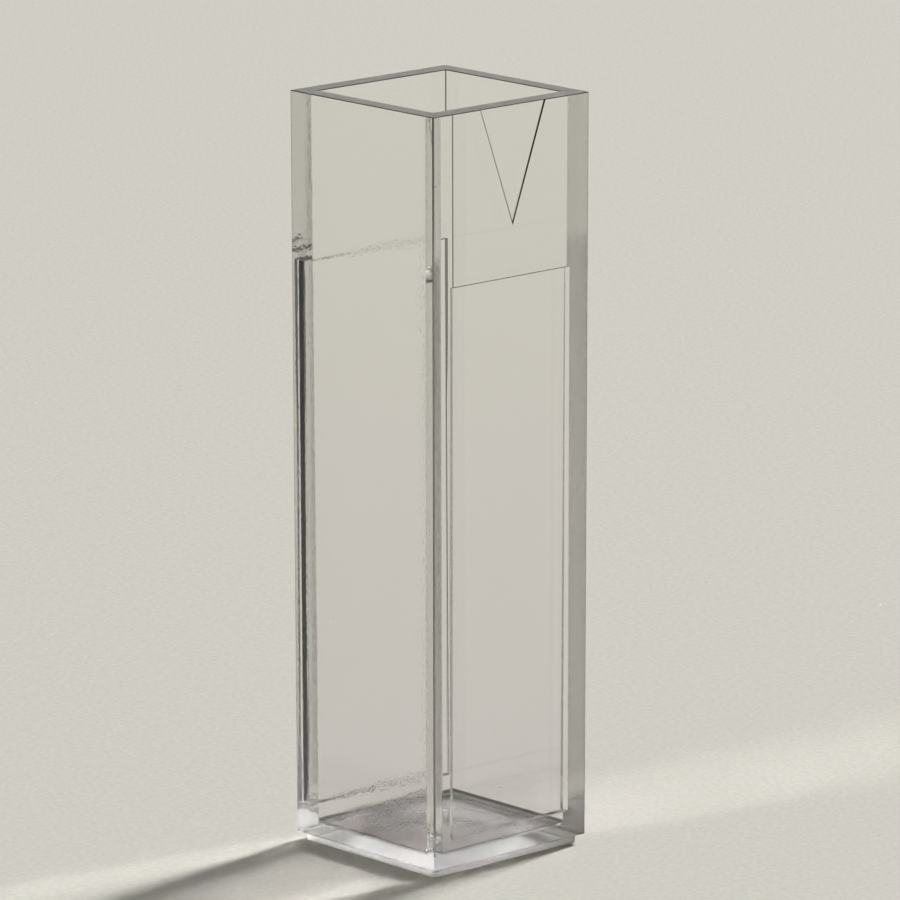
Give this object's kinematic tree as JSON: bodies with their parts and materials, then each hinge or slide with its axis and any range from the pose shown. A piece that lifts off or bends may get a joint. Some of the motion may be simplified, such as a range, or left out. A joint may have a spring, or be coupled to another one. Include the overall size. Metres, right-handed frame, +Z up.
{
  "type": "cuvette",
  "caption": "Square clear plastic sample cell, open at the rim, with two recessed windows, a V direction mark and a low foot.",
  "frame": {"origin": "middle of the foot's underside, on the surface that the cuvette stands on", "axes": "+Z up out of the mouth, -Y out of the window face that carries the V mark, +X to its right"},
  "size_m": [0.0124, 0.0124, 0.0454],
  "materials": {
    "clear_plastic": "clear moulded polystyrene, polished windows, faintly grained side faces"
  },
  "bodies": {
    "root": {"cuvette": "clear_plastic"}
  },
  "joints": []
}
